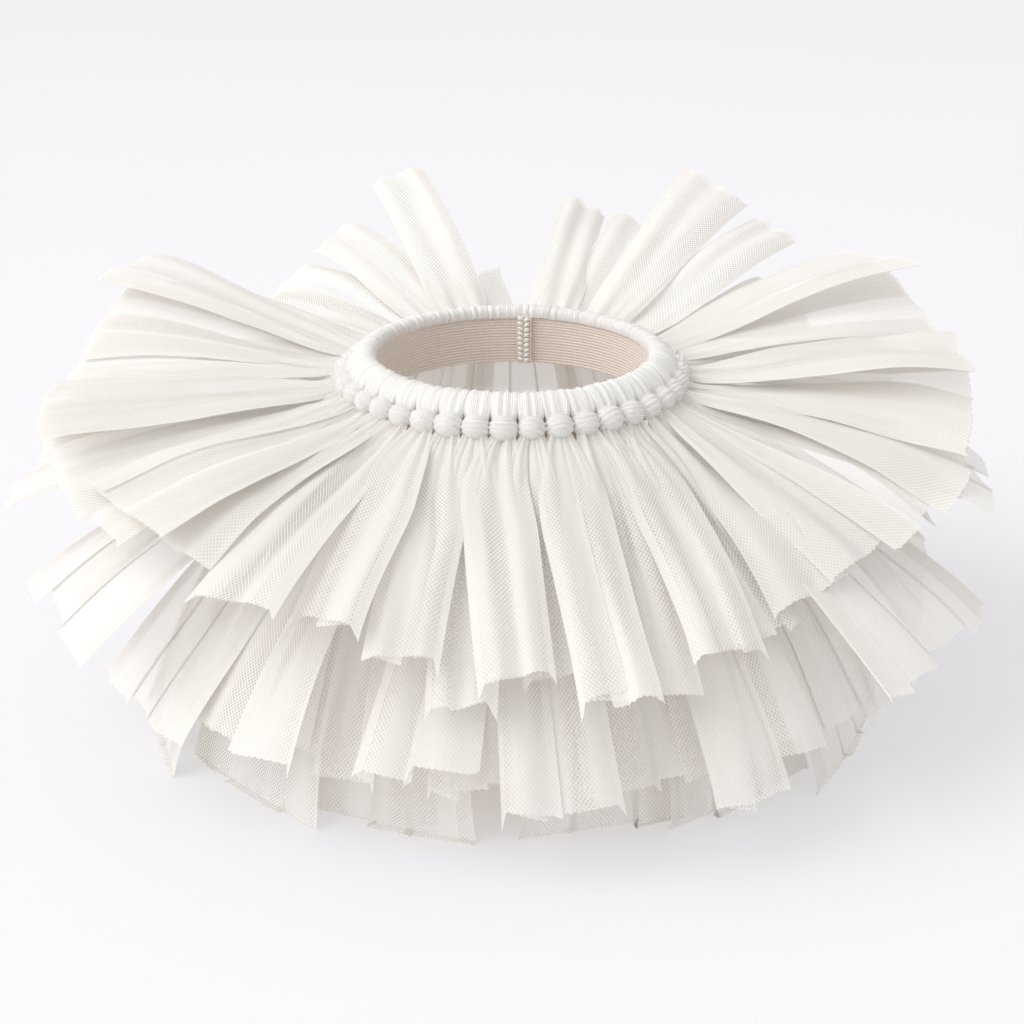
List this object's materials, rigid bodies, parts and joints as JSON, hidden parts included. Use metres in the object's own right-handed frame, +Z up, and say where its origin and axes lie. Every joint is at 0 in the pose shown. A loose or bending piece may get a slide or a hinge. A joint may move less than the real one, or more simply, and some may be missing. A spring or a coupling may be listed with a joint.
{
  "type": "tutu",
  "caption": "Ballet tutu of gathered tulle strips, each knotted round an elastic waistband and left in two tails, standing by itself on its lowest hems.",
  "frame": {"origin": "on the floor, in the middle of what the tails cover; the waist's upright axis is 14.4 mm nearer the front", "axes": "+Z up, the wearer's front at -Y, the wearer's left at +X"},
  "size_m": [0.4714, 0.4246, 0.2209],
  "materials": {
    "tulle": "soft off-white nylon net",
    "elastic": "woven ribbed elastic"
  },
  "bodies": {
    "root": {"elastic_band": "elastic", "tulle_strip_01": "tulle", "tulle_strip_02": "tulle", "tulle_strip_03": "tulle", "tulle_strip_04": "tulle", "tulle_strip_05": "tulle", "tulle_strip_06": "tulle", "tulle_strip_07": "tulle", "tulle_strip_08": "tulle", "tulle_strip_09": "tulle", "tulle_strip_10": "tulle", "tulle_strip_11": "tulle", "tulle_strip_12": "tulle", "tulle_strip_13": "tulle", "tulle_strip_14": "tulle", "tulle_strip_15": "tulle", "tulle_strip_16": "tulle", "tulle_strip_17": "tulle", "tulle_strip_18": "tulle", "tulle_strip_19": "tulle", "tulle_strip_20": "tulle", "tulle_strip_21": "tulle", "tulle_strip_22": "tulle", "tulle_strip_23": "tulle", "tulle_strip_24": "tulle", "tulle_strip_25": "tulle", "tulle_strip_26": "tulle", "tulle_strip_27": "tulle", "tulle_strip_28": "tulle", "tulle_strip_29": "tulle", "tulle_strip_30": "tulle", "tulle_strip_31": "tulle", "tulle_strip_32": "tulle", "tulle_strip_33": "tulle", "tulle_strip_34": "tulle", "tulle_strip_35": "tulle", "tulle_strip_36": "tulle", "tulle_strip_37": "tulle", "tulle_strip_38": "tulle", "tulle_strip_39": "tulle", "tulle_strip_40": "tulle"}
  },
  "joints": []
}
